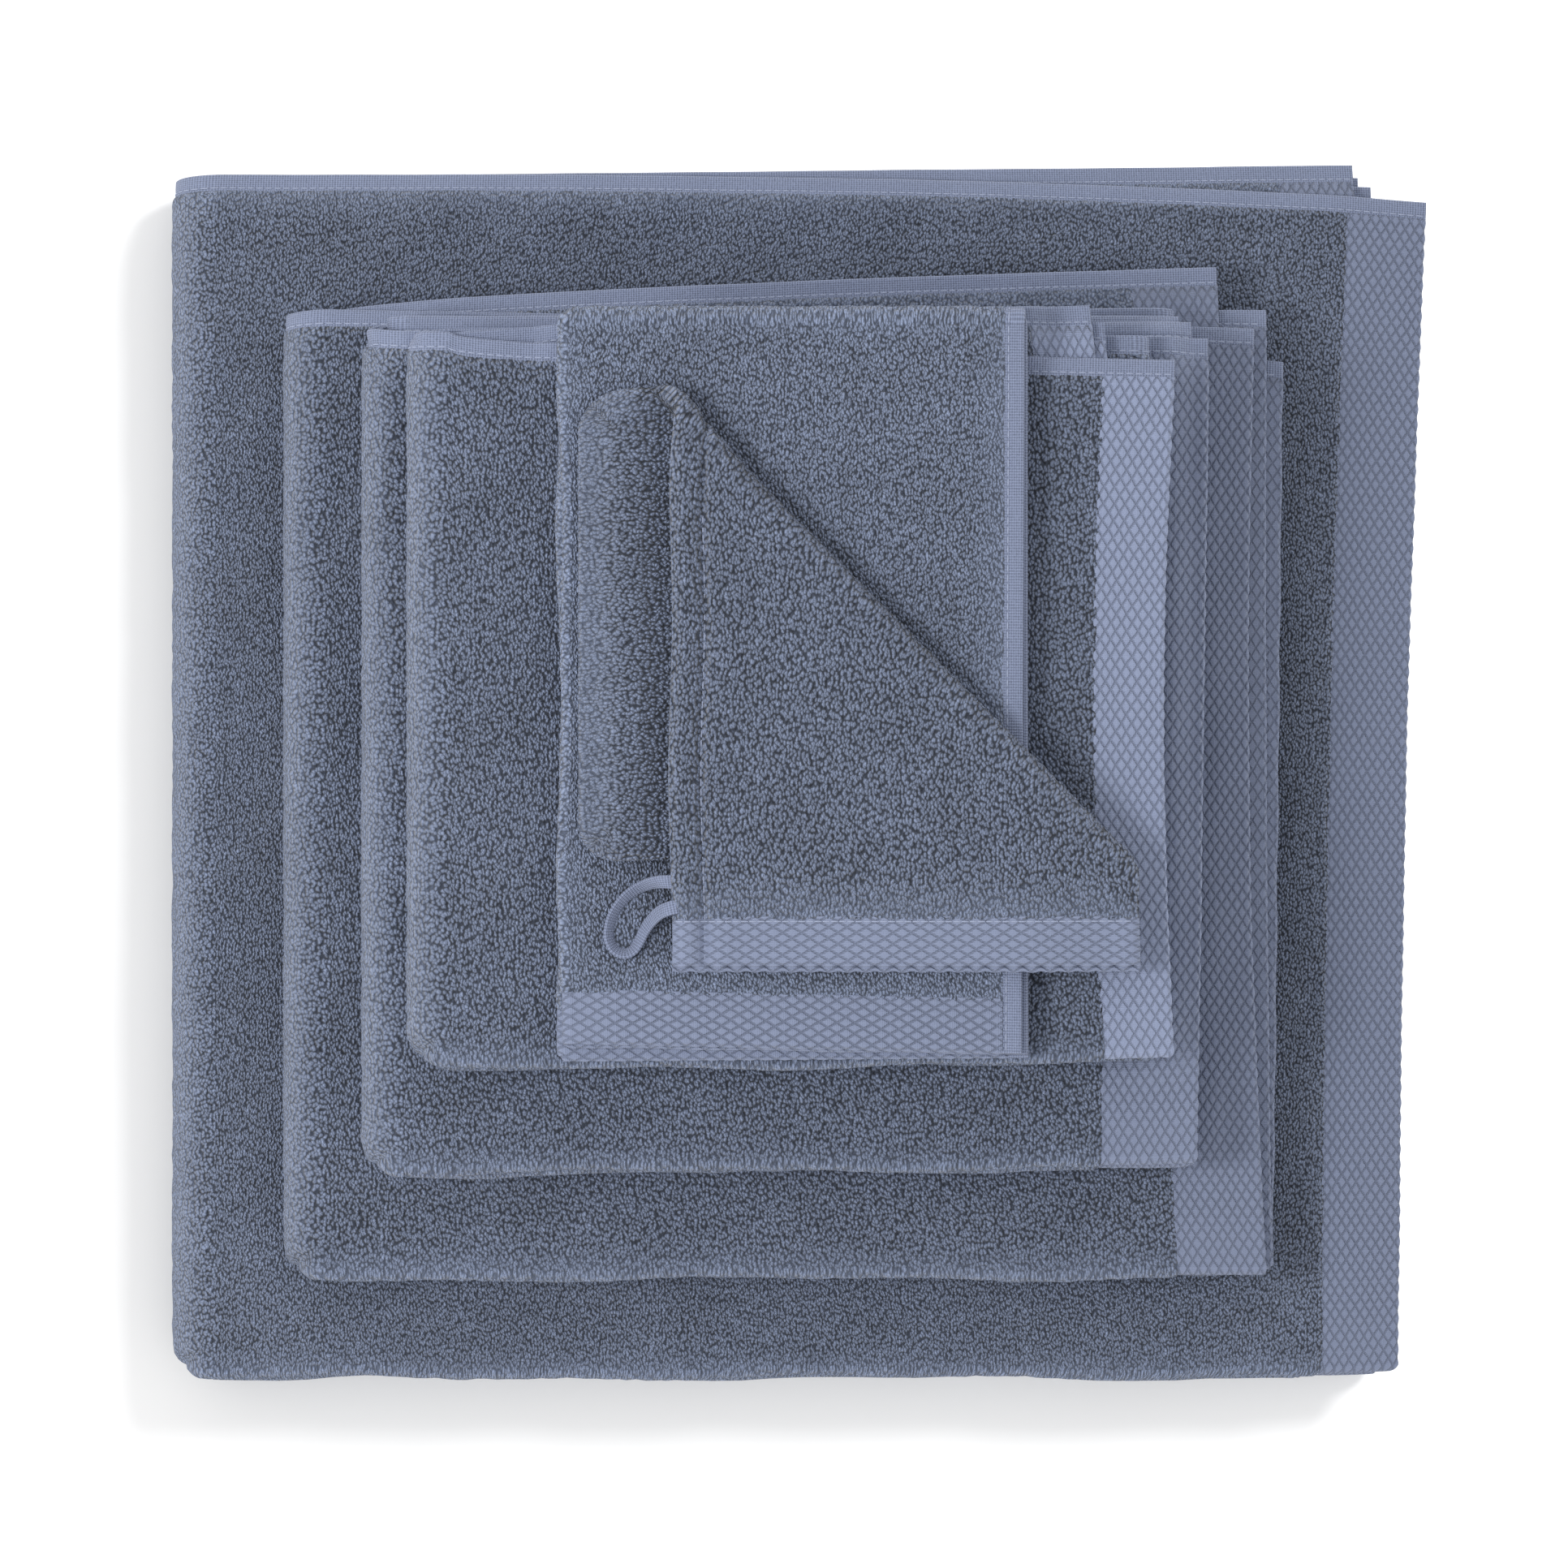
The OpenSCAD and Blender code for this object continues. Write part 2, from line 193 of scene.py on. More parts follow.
def stations(*stretches):
    """Positions along a line: each stretch is (from, to, step)."""
    found = []
    for low, high, step in stretches:
        count = max(1, int(math.ceil(abs(high - low) / step - 1e-6)))
        found.extend(low + (high - low) * i / count for i in range(count))
    found.append(stretches[-1][1])
    return np.array(found)


DASH = 2.5
DASH_STEP = 3.2
DASH_SIDES = 6
DASH_RADIUS = 0.3
DASH_FLATNESS = 0.8


def dashes(place, along, across, face, radius=DASH_RADIUS):
    """Stitches in a row: short rounded rods lying on the cloth's face."""
    rings = np.array([-0.5, -0.42, 0, 0.42, 0.5])
    sizes = np.array([0.35, 0.85, 1, 0.85, 0.35])
    parts = []
    for middle in along:
        angle = np.arange(DASH_SIDES) * TAU / DASH_SIDES
        u = middle + DASH * rings[:, None] + 0 * angle
        a = across + radius * sizes[:, None] * np.cos(angle)
        h = face + radius * sizes[:, None] * np.sin(angle) * DASH_FLATNESS
        points = place(u, a, h).reshape(-1, 3)
        number = np.arange(len(rings) * DASH_SIDES).reshape(len(rings), DASH_SIDES)
        turned = np.roll(number, -1, axis=1)
        side = np.stack([number[:-1], number[1:], turned[1:], turned[:-1]], -1).reshape(-1, 4)
        caps = []
        for ring, order in ((number[0], 1), (number[-1], -1)):
            ring = ring[::order]
            caps.append([ring[0], ring[1], ring[2], ring[5]])
            caps.append([ring[2], ring[3], ring[4], ring[5]])
        faces = np.concatenate([side, np.array(caps)])
        flat = np.stack([u.ravel(), a.ravel(), 0 * u.ravel()], 1)
        parts.append((points, faces_of(points, faces), flat))
    return parts


# ---- Materials ----


class Weave:
    """A material and a short way to write its nodes."""

    def __init__(self, name, roughness, sheen):
        self.material = bpy.data.materials.new(name)
        self.material.use_nodes = True
        self.tree = self.material.node_tree
        self.shader = self.tree.nodes["Principled BSDF"]
        self.shader.inputs["Roughness"].default_value = roughness
        self.shader.inputs["Specular IOR Level"].default_value = 0.15
        self.shader.inputs["Sheen Weight"].default_value = sheen
        self.shader.inputs["Sheen Roughness"].default_value = 0.5
        flat = self.tree.nodes.new("ShaderNodeAttribute")
        flat.attribute_name = "cloth"
        self.flat = flat.outputs["Vector"]
        split = self.tree.nodes.new("ShaderNodeSeparateXYZ")
        self.tree.links.new(self.flat, split.inputs[0])
        self.along = split.outputs[0]
        self.across = split.outputs[1]
        # The cloth's third value: how much painted light the pile gets where it opens.
        self.tilt = split.outputs[2]

    def set(self, socket, value):
        """Links another node's output, or sets a plain value."""
        if hasattr(value, "is_output"):
            self.tree.links.new(value, socket)
        else:
            socket.default_value = value

    def math(self, operation, *values):
        node = self.tree.nodes.new("ShaderNodeMath")
        node.operation = operation
        for socket, value in zip(node.inputs, values):
            self.set(socket, value)
        return node.outputs[0]

    def moved(self, turn=0.0, scale=(1, 1, 1), source=None):
        node = self.tree.nodes.new("ShaderNodeMapping")
        self.set(node.inputs["Vector"], source or self.flat)
        node.inputs["Rotation"].default_value = (0, 0, turn)
        node.inputs["Scale"].default_value = scale
        return node.outputs[0]

    def noise(self, place, scale, detail=2.0, rough=0.5):
        node = self.tree.nodes.new("ShaderNodeTexNoise")
        self.set(node.inputs["Vector"], place)
        node.inputs["Scale"].default_value = scale
        node.inputs["Detail"].default_value = detail
        node.inputs["Roughness"].default_value = rough
        return node.outputs["Fac"]

    def bent(self, place, scale, reach):
        """The same place, moved sideways at random by up to reach."""
        wander = self.tree.nodes.new("ShaderNodeTexNoise")
        wander.inputs["Scale"].default_value = scale
        wander.inputs["Detail"].default_value = 2.0
        self.tree.links.new(place, wander.inputs["Vector"])
        sum_node = self.tree.nodes.new("ShaderNodeVectorMath")
        sum_node.operation = "MULTIPLY_ADD"
        self.tree.links.new(wander.outputs["Color"], sum_node.inputs[0])
        sum_node.inputs[1].default_value = (reach, reach, 0)
        self.tree.links.new(place, sum_node.inputs[2])
        return sum_node.outputs[0]

    def cells(self, place, scale, randomness):
        """Distance to the nearest of scattered points, and a random colour for each."""
        node = self.tree.nodes.new("ShaderNodeTexVoronoi")
        node.voronoi_dimensions = "2D"
        self.set(node.inputs["Vector"], place)
        node.inputs["Scale"].default_value = scale
        node.inputs["Randomness"].default_value = randomness
        return node.outputs["Distance"], node.outputs["Color"]

    def ranged(self, value, low, high, to_low=0.0, to_high=1.0, kind="SMOOTHSTEP"):
        node = self.tree.nodes.new("ShaderNodeMapRange")
        node.interpolation_type = kind
        for name, number in zip(("Value", "From Min", "From Max", "To Min", "To Max"),
                                (value, low, high, to_low, to_high)):
            self.set(node.inputs[name], number)
        return node.outputs[0]

    def wave(self, value, period):
        """0 to 1 to 0 over each period."""
        turns = self.math("MULTIPLY", value, TAU / period)
        return self.math("MULTIPLY_ADD", self.math("COSINE", turns), -0.5, 0.5)

    def ramp(self, value, stops):
        node = self.tree.nodes.new("ShaderNodeValToRGB")
        self.set(node.inputs[0], value)
        elements = node.color_ramp.elements
        while len(elements) < len(stops):
            elements.new(0.5)
        for element, (position, colour) in zip(elements, stops):
            element.position = position
            element.color = (*colour, 1)
        return node.outputs[0]

    def finish(self, colour, height, depth):
        """Colours the shader and bumps it, depth millimetres for a height of 1."""
        bump = self.tree.nodes.new("ShaderNodeBump")
        bump.inputs["Strength"].default_value = 1.0
        bump.inputs["Distance"].default_value = depth * MM
        self.set(bump.inputs["Height"], height)
        self.tree.links.new(bump.outputs[0], self.shader.inputs["Normal"])
        self.tree.links.new(colour, self.shader.inputs["Base Color"])
        return self.material


def shade(factor, base):
    """A lighter or darker version of a colour."""
    return tuple(min(1.0, factor * channel) for channel in base)


# How quickly and how far the columns of loops wander.
WANDER_SCALE = 0.33
WANDER = 1.5
# A loop's width as a share of the columns' pitch.
LOOP_SHARE = 0.74
PILE_DEPTH = 1.8


def terry_material(name, base, pitch, loop_length, turn, rim=0.8, columns_along=False):
    """Looped pile: rounded, slanting loops in loose columns, with painted shade in the gaps between
    them and painted highlights on their tops. pitch is between two columns, which run across the
    cloth or, for columns_along, along it, and rim is how much painted light the pile gets where it
    opens over a fold, with less painted shade in its gaps."""
    weave = Weave(name, 0.95, 0.2)
    flat = weave.flat
    if columns_along:
        flat = weave.moved(math.pi / 2)
    bent = weave.bent(flat, WANDER_SCALE, WANDER)
    split = weave.tree.nodes.new("ShaderNodeSeparateXYZ")
    weave.tree.links.new(bent, split.inputs[0])
    column = weave.wave(split.outputs[0], pitch)
    loop_scale = (1 / (LOOP_SHARE * pitch), 1 / loop_length, 0)
    near, tint = weave.cells(weave.moved(turn, loop_scale, bent), 1.0, 0.95)
    tone_of = weave.tree.nodes.new("ShaderNodeSeparateColor")
    weave.tree.links.new(tint, tone_of.inputs[0])
    loops = weave.ranged(near, 0.22, 0.70, 1.0, 0.0)
    domes = weave.ranged(near, 0.0, 0.75, 1.0, 0.0, "LINEAR")
    fibre = weave.noise(weave.moved(turn, (2.4, 1.0, 0), bent), 1.0, 2.0, 0.6)
    clump = weave.noise(flat, 0.26, 2.0, 0.6)
    heap = weave.math("MULTIPLY_ADD", column, 0.16, weave.math("MULTIPLY", loops, 0.85))
    heap = weave.math("MULTIPLY_ADD", fibre, 0.42, heap)
    heap = weave.math("MULTIPLY_ADD", clump, 0.32, heap)
    heap = weave.math("MULTIPLY_ADD", tone_of.outputs[0], 0.20, heap)
    mottle = weave.noise(flat, 0.03, 3.0, 0.6)
    tone = weave.math("MULTIPLY_ADD", mottle, 0.30, heap)
    # Painted light where the pile opens: the ramp's low end moves down, so less of the pile falls in
    # its painted shade.
    painted_rim_light = weave.ranged(weave.tilt, 0.2, 0.85, 0.0, rim)
    low = weave.math("SUBTRACT", 0.48, painted_rim_light)
    tone = weave.ranged(tone, low, 1.75, 0.0, 1.0, "LINEAR")
    # The ramp paints shade into the gaps between loops and highlights on the loops' tops.
    colour = weave.ramp(tone, [
        (0.0, shade(0.12, base)), (0.25, shade(0.38, base)), (0.52, shade(0.98, base)),
        (0.76, shade(1.62, base)), (1.0, shade(2.5, base)),
    ])
    height = weave.math("MULTIPLY_ADD", domes, 0.8, weave.math("MULTIPLY", fibre, 0.3))
    height = weave.math("MULTIPLY_ADD", clump, 0.4, height)
    return weave.finish(colour, height, PILE_DEPTH)


# How far the rows of diamonds wander along the cloth.
UNEVEN_WEAVE = 1.6


def diamond_nodes(weave, wide, tall):
    """Nodes that tell how far a point is inside its diamond: 0 on the groove, 0.5 at the middle.
    The second value rises to 1 at the middle and falls off more gently."""
    uneven = weave.noise(weave.flat, 0.11, 2.0)
    uneven = weave.math("SUBTRACT", uneven, 0.5)
    along = weave.math("MULTIPLY_ADD", uneven, UNEVEN_WEAVE, weave.along)
    one = weave.math("DIVIDE", along, wide)
    two = weave.math("DIVIDE", weave.across, tall)
    depths = []
    for operation in ("ADD", "SUBTRACT"):
        place = weave.math("FRACT", weave.math(operation, one, two))
        depths.append(weave.math("PINGPONG", place, 0.5))
    return weave.math("MINIMUM", *depths), weave.math("ADD", *depths)


def border_material(name, base, wide, tall):
    """Woven band: diamonds between fine grooves, with the weave's ribs on them. The grooves are
    painted darker, as painted shade, and each diamond a little lighter toward its middle, as painted
    light.
    """
    weave = Weave(name, 0.8, 0.12)
    inside, middle = diamond_nodes(weave, wide, tall)
    body = weave.ranged(inside, 0.0, 0.19)
    ribs = weave.wave(weave.across, 0.62)
    threads = weave.wave(weave.along, 0.5)
    weft = weave.math("MULTIPLY", ribs, weave.math("MULTIPLY_ADD", threads, 0.5, 0.5))
    grain = weave.noise(weave.flat, 1.8, 2.0)
    # Painted shade in the grooves and painted light toward each diamond's middle.
    tone = weave.math("MULTIPLY_ADD", weft, 0.16, weave.math("MULTIPLY", body, 0.72))
    tone = weave.math("MULTIPLY_ADD", grain, 0.2, tone)
    tone = weave.math("MULTIPLY_ADD", middle, 0.1, tone)
    colour = weave.ramp(tone, [
        (0.1, shade(0.76, base)), (0.5, shade(0.94, base)), (1.0, shade(1.12, base)),
    ])
    height = weave.math("MULTIPLY_ADD", weft, 0.35, body)
    return weave.finish(colour, height, 0.45)


def hem_material(name, base):
    """Plain weave with fine ribs across the hem."""
    weave = Weave(name, 0.8, 0.12)
    ribs = weave.wave(weave.along, 0.95)
    threads = weave.wave(weave.across, 0.8)
    grain = weave.noise(weave.flat, 1.5, 2.0)
    tone = weave.math("MULTIPLY_ADD", ribs, 0.42, weave.math("MULTIPLY", threads, 0.3))
    tone = weave.math("MULTIPLY_ADD", grain, 0.5, tone)
    colour = weave.ramp(tone, [
        (0.2, shade(0.55, base)), (0.6, shade(0.98, base)), (1.0, shade(1.3, base)),
    ])
    return weave.finish(colour, tone, 0.5)


def thread_material(name, base):
    """Twisted sewing thread."""
    weave = Weave(name, 0.6, 0.1)
    twist = weave.wave(weave.math("ADD", weave.along, weave.across), 0.5)
    colour = weave.ramp(twist, [(0.0, shade(0.82, base)), (1.0, shade(1.1, base))])
    return weave.finish(colour, twist, 0.08)


TERRY = (0.128, 0.155, 0.226)
BORDER = (0.198, 0.230, 0.330)
HEM = (0.215, 0.250, 0.362)
THREAD = (0.34, 0.385, 0.52)

HEMS = hem_material("plain_hem", HEM)
STITCHES = thread_material("sewing_thread", THREAD)
TAPE = hem_material("loop_tape", HEM)


# ---- Book-folded towels ----

HEM_WIDTH = 7.0
# The terry runs this far under its hems and borders.
EMBED = 1.0
TUFTS = 0.3
WOVEN_THICK = 2.2
# The points lie closer together on this width along a piece's edge.
LIP = 4.0
COARSE = 11.0


class Fold:
    """A folded towel. place(u, a, h) turns a point of the flat cloth into its place: u runs along
    the cloth from its upper end, a runs across it from the fold line, and h is off its middle.

    Each run has two skews, for a > 0 and a < 0: how far the back edge moves at the left and at
    the right, how far the end moves at the front and at the back, how much the end bows, and the
    power by which the back edge goes from left to right."""

    def __init__(self, leaf, base, front, back, runs, turns, cover, seed, swap=False):
        self.leaf, self.base, self.front, self.back = leaf, base, front, back
        self.cover, self.seed, self.swap = cover, seed, swap
        self.radius = leaf / 4
        self.bend = math.pi * self.radius / 2
        self.crease = front + leaf / 2
        self.drawn = (0, 0)
        self.half = self.bend + back - self.crease
        self.pieces = []
        start = 0
        for index, run in enumerate(runs):
            length = abs(run["to"] - run["from"])
            self.pieces.append(dict(run, start=start, length=length, kind="run", index=index))
            start += length
            if index < len(turns):
                turn = turns[index]
                arc = math.pi * turn["radius"]
                self.pieces.append(dict(turn, start=start, length=arc, kind="turn", index=index))
                start += arc
        self.length = start
        self.height = max(run["high"] for run in runs) + leaf / 2
        self.spine = min(min(run["from"], run["to"]) for run in runs)
        self.left = self.spine - 2 * leaf

    def run(self, index):
        return next(q for q in self.pieces if q["kind"] == "run" and q["index"] == index)

    def wave(self, x, index):
        """How far one leaf's front fold is drawn back at x: from its left value to its right
        one, with a slight wander."""
        phase = 1.7 * index + self.seed
        along = np.clip((x - self.spine) / (self.end - self.spine), 0, 1)
        drawn = self.drawn[0] + (self.drawn[1] - self.drawn[0]) * along
        return (drawn + 0.7 * np.sin(x / 31 + phase) + 0.5 * np.sin(x / 13 + 2.3 * phase)
                + 0.9 * math.sin(2.1 * phase))

    def run_skew(self, run, x, ply):
        """Movement of the back edge, of the front edge and of the end, for one run."""
        tau = (x - self.spine) / (max(run["from"], run["to"]) - self.spine)
        mix = [(1 - ply) * m + ply * p for p, m in zip(run["plus"], run["minus"])]
        back = mix[0] + (mix[1] - mix[0]) * np.clip(tau, 0, 1) ** mix[5]
        return back, self.wave(x, run["index"]), tau, mix[2], mix[3], mix[4]

    def place(self, u, a, h):
        u, a, h = np.broadcast_arrays(np.asarray(u, float), a, h)
        phi = np.clip(a / self.radius, -math.pi / 2, math.pi / 2)
        off = self.radius * np.sin(phi) + h * np.sin(phi)
        past = np.maximum(np.abs(a) - self.bend, 0)
        y = self.crease + past - (self.radius + h) * np.cos(phi)
        ply = (1 + np.sin(phi)) / 2
        s = np.clip((y - self.front) / (self.back - self.front), 0, 1.2)
        x, z = np.zeros(u.shape), np.zeros(u.shape)
        back, wander = np.zeros(u.shape), np.zeros(u.shape)
        shift = np.zeros(u.shape)
        for piece in self.pieces:
            t = (u - piece["start"]) / piece["length"]
            here = (t >= 0) & (t <= 1)
            if piece is self.pieces[0]:
                here |= t < 0
            if piece is self.pieces[-1]:
                here |= t > 1
            if not here.any():
                continue
            t, o, p, sh = t[here], off[here], ply[here], s[here]
            if piece["kind"] == "run":
                px = piece["from"] + (piece["to"] - piece["from"]) * t
                x[here], z[here] = px, piece["high"] + piece["up"] * o
                b, w, tau, front_end, back_end, bow = self.run_skew(piece, px, p)
                move = front_end + (back_end - front_end) * sh + bow * np.sin(math.pi * sh)
                back[here], wander[here] = b, w
                shift[here] = (1 - tau if self.swap else tau) * move
            else:
                angle = np.radians(piece["from"] + (piece["to"] - piece["from"]) * t)
                reach = piece["radius"] + piece["out"] * o
                x[here] = piece["x"] + reach * np.cos(angle)
                z[here] = piece["z"] + reach * np.sin(angle)
                before = self.run(piece["index"])
                after = self.run(piece["index"] + 1)
                edge = np.full(t.shape, float(before["to"]))
                one = self.run_skew(before, edge, p)
                two = self.run_skew(after, edge, p)
                blend = [m + (n - m) * t for m, n in zip(one, two)]
                move = blend[3] + (blend[4] - blend[3]) * sh + blend[5] * np.sin(math.pi * sh)
                back[here], wander[here] = blend[0], blend[1]
                shift[here] = (1 - blend[2] if self.swap else blend[2]) * move
        y = y + s * back + (1 - s) * wander * smooth((1 - s) * 1.2)
        x = x + shift
        return self.settle(x, y, z)

    def settle(self, x, y, z):
        """Rounds the corners, sinks the edges and lets the cloth ripple where nothing lies on it."""
        for corner_x, side_x, corner_y, side_y, size in self.corners():
            dx = (x - corner_x - side_x * size) * -side_x
            dy = (y - corner_y - side_y * size) * -side_y
            inside = (dx > 0) & (dy > 0)
            most = np.maximum(dx, dy)
            far = np.where(inside, np.hypot(dx, dy), 1)
            scale = np.where(inside, most / np.maximum(far, 1e-6), 1)
            x = np.where(inside, corner_x + side_x * size - side_x * dx * scale, x)
            y = np.where(inside, corner_y + side_y * size - side_y * dy * scale, y)
        free = self.free(x, y)
        part = np.clip(z / self.height, 0, 1.1)
        edge = smooth(1 - (self.back - y) / 20)
        end = smooth(1 - (x - self.front_end) / 20 if self.swap else 1 - (self.end - x) / 34)
        sink = 1 - free * np.clip(0.17 * edge + 0.10 * end, 0, 0.24)
        z = z * sink + free * part * self.ripple(x, y)
        z = z + self.base
        if self.swap:
            x, y = y, x
        return np.stack([x, y, z], -1)

    def free(self, x, y):
        """0 under the item on top, 1 well outside it."""
        left, right, front, back = self.cover
        dx = np.maximum(np.maximum(left - x, x - right), 0)
        dy = np.maximum(np.maximum(front - y, y - back), 0)
        return smooth(np.hypot(dx, dy) / 11)

    def ripple(self, x, y):
        """Gentle unevenness of the cloth's face."""
        k = self.seed
        return (0.55 * np.sin(x / 23 + y / 41 + k) + 0.45 * np.sin(y / 19 - x / 53 + 2 * k)
                + 0.35 * np.sin(x / 11 + 3 * k) * np.sin(y / 14 + k)
                + 0.25 * np.sin(x / 6.3 - y / 8.1 + 5 * k))

    def corners(self):
        """The free corners to round: place, direction inwards and size."""
        if self.swap:
            return [(self.front_end, 1, self.front, 1, 3.0), (self.end, -1, self.front, 1, 6.0)]
        return [(self.left, 1, self.front, 1, 14.0), (self.left, 1, self.back, -1, 6.0),
                (self.end, -1, self.front, 1, 6.0)]


def book(name, border, fan, skews, cover, seed, leaf, drawn):
    """The fold map of a book-folded towel, from its CAD nodes' boxes. The right-hand fold lies
    fan past the upper leaf's end, and drawn is how far the front folds are pulled in at the
    left and at the right."""
    terry_low = box(name + "_terry")[0]
    left, front = terry_low[0] - SPARE / 2, terry_low[1]
    back = box(name + "_side_hems")[1][1]
    second_end = box(name + "_end_borders")[1][0]
    upper_end = second_end - fan / 3
    fold = upper_end + fan
    spine = left + 2 * leaf
    upper, second, outer = skews
    runs = [
        {"from": upper_end, "to": spine, "high": 3.5 * leaf, "up": 1, **upper},
        {"from": spine, "to": fold - leaf, "high": 0.5 * leaf, "up": -1, **outer},
        {"from": fold - leaf, "to": spine, "high": 1.5 * leaf, "up": 1, **outer},
        {"from": spine, "to": second_end, "high": 2.5 * leaf, "up": -1, **second},
    ]
    turns = [
        {"x": spine, "z": 2 * leaf, "radius": 1.5 * leaf, "from": 90, "to": 270, "out": 1},
        {"x": fold - leaf, "z": leaf, "radius": 0.5 * leaf, "from": -90, "to": 90, "out": 1},
        {"x": spine, "z": 2 * leaf, "radius": 0.5 * leaf, "from": 270, "to": 90, "out": -1},
    ]
    towel = Fold(leaf, terry_low[2] - SPARE / 2, front, back, runs, turns, cover, seed)
    towel.end = max(fold, second_end)
    towel.drawn = drawn
    towel.front_end = left
    towel.name, towel.border = name, border
    return towel


def run_stations(towel, low, high, fine, coarse):
    """Positions along a towel: fine on its upper leaf and round the turns, coarse elsewhere."""
    stretches = []
    for piece in towel.pieces:
        start, stop = max(low, piece["start"]), min(high, piece["start"] + piece["length"])
        if stop <= start:
            continue
        if piece["kind"] == "turn":
            step = piece["length"] / (14 if piece["radius"] > towel.leaf else 8)
        else:
            step = fine if piece["index"] == 0 else coarse
        stretches.append((start, stop, step))
    first, last = stretches[0], stretches[-1]
    ends = [(first[0], first[0] + LIP, 0.8), (first[0] + LIP, first[1], first[2])]
    tail = [(last[0], last[1] - LIP, last[2]), (last[1] - LIP, last[1], 0.8)]
    return stations(*ends, *stretches[1:-1], *tail)


def terry_piece(towel, material, fine):
    """The towel's looped cloth, from border to border and hem to hem."""
    start, stop = towel.border - EMBED, towel.length - towel.border + EMBED
    edge = towel.half - HEM_WIDTH + EMBED
    full = towel.leaf / 2 - SPARE
    us = run_stations(towel, start, stop, fine, COARSE)
    cross = stations(
        (-edge, -edge + LIP, 0.8), (-edge + LIP, -towel.bend, 9.0),
        (-towel.bend, towel.bend, towel.bend / 4), (towel.bend, edge - LIP, fine),
        (edge - LIP, edge, 0.8),
    )

    def thick(u, a):
        inset = np.minimum(np.minimum(u - start, stop - u), edge - np.abs(a))
        return 1.4 + (full - 1.4) * bulge(inset / 3.0)

    points, faces, flat = shell(towel.place, us, cross, thick, tufts=TUFTS)
    return make_mesh(towel.name + "_terry_cloth", points, faces, flat, material)


def diamond_height(u, a, wide, tall):
    """Relief of the woven diamonds, on the material's lattice before it wanders."""
    one, two = u / wide, a / tall
    depths = [0.5 - np.abs((v % 1) - 0.5) for v in (one + two, one - two)]
    return smooth(np.minimum(*depths) / 0.22)


def border_piece(towel, material, wide, tall, fine):
    """Both woven ends. The one on top is fine enough to show its diamonds in relief."""
    edge = towel.half - HEM_WIDTH + 0.6
    parts = []
    for end in (0, 1):
        def flip(u):
            return u if end == 0 else towel.length - u

        step = fine if end == 0 else 2.2
        us = stations((0, 1.5, 0.3), (1.5, towel.border + 0.6, step))
        cross = stations(
            (-edge, -towel.bend, 2.2 if end == 1 else 7.0),
            (-towel.bend, towel.bend, towel.bend / 5),
            (towel.bend, edge, fine if end == 0 else 7.0),
        )

        def place(u, a, h):
            scallop = 0.2 * np.cos(TAU * a / tall) * smooth(1 - u / 2.5)
            return towel.place(flip(u + scallop), a, h)

        def thick(u, a):
            return WOVEN_THICK * (0.25 + 0.75 * bulge(u / 1.3))

        def lift(u, a):
            plain = smooth((np.abs(a) - 1.2 * towel.leaf) / 14)
            return 0.5 * diamond_height(u, a, wide, tall) * plain * smooth(u / 1.0)

        parts.append(shell(place, us, cross, thick, lift))
    points, faces, flat = joined(parts)
    return make_mesh(towel.name + "_woven_ends", points, faces, flat, material)


def hem_piece(towel):
    """The plain hems of both long sides."""
    us = run_stations(towel, 0, towel.length, 2.4, 3.6)
    parts = []
    for side in (-1, 1):
        inner, outer = towel.half - HEM_WIDTH, towel.half
        cross = side * stations((inner - 0.8, inner + 0.6, 0.7), (inner + 0.6, outer - 1.4, 1.1),
                                (outer - 1.4, outer, 0.28))

        def thick(u, a):
            rim = np.minimum(towel.half - np.abs(a), np.minimum(u, towel.length - u) + 0.2)
            valley = 0.5 * np.exp(-((np.abs(a) - inner - 1.6) / 0.7) ** 2)
            return (WOVEN_THICK + 0.25 - valley) * (0.2 + 0.8 * bulge(rim / 1.3))

        parts.append(shell(towel.place, us, cross, thick))
    points, faces, flat = joined(parts)
    return make_mesh(towel.name + "_hems", points, faces, flat, HEMS)


def stitch_piece(towel):
    """A row of stitches along each hem, on both faces of the cloth."""
    along = np.arange(2.4, towel.length - 2, DASH_STEP)
    parts = []
    for side in (-1, 1):
        for face in (-1, 1):
            across = side * (towel.half - HEM_WIDTH + 1.6)
            parts += dashes(towel.place, along, across, face * (WOVEN_THICK / 2 - 0.02))
    points, faces, flat = joined(parts)
    return make_mesh(towel.name + "_stitches", points, faces, flat, STITCHES)


def dress(towel, terry, woven, diamond, fine):
    """Makes a towel's four pieces, ties them to its body and hides the CAD nodes they stand in for.
    """
    cloth = terry_piece(towel, terry, fine)
    ends = border_piece(towel, woven, *diamond, FINE_BORDER)
    hems = hem_piece(towel)
    stitches = stitch_piece(towel)
    for piece, part, finish in ((cloth, "terry", "terry"), (ends, "end_borders", "woven_border"),
                                (hems, "side_hems", "plain_hem"), (stitches, "stitching", "thread")):
        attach(piece, towel.name)
        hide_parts(towel.name + "_" + part)


def skew(plus, minus=None):
    """A run's two skews, the same for both plies unless a second one is given."""
    return {"plus": plus, "minus": plus if minus is None else minus}


# Thickness of a leaf of two plies.
SHEET_LEAF, BATH_LEAF, MEDIUM_LEAF, HAND_LEAF, GUEST_LEAF = 9.0, 8.5, 8.0, 7.5, 7.0

# Width and height of a woven diamond.
SHEET_DIAMOND = (3.65, 5.8)
DIAMOND = (3.7, 6.0)

# Spacing of the points on the upper leaf's face. The largest towel's is wider.
FINE = 2.6
SHEET_FINE = 3.7
# The same for the upper woven end, which shows its diamonds in relief.
FINE_BORDER = 0.7

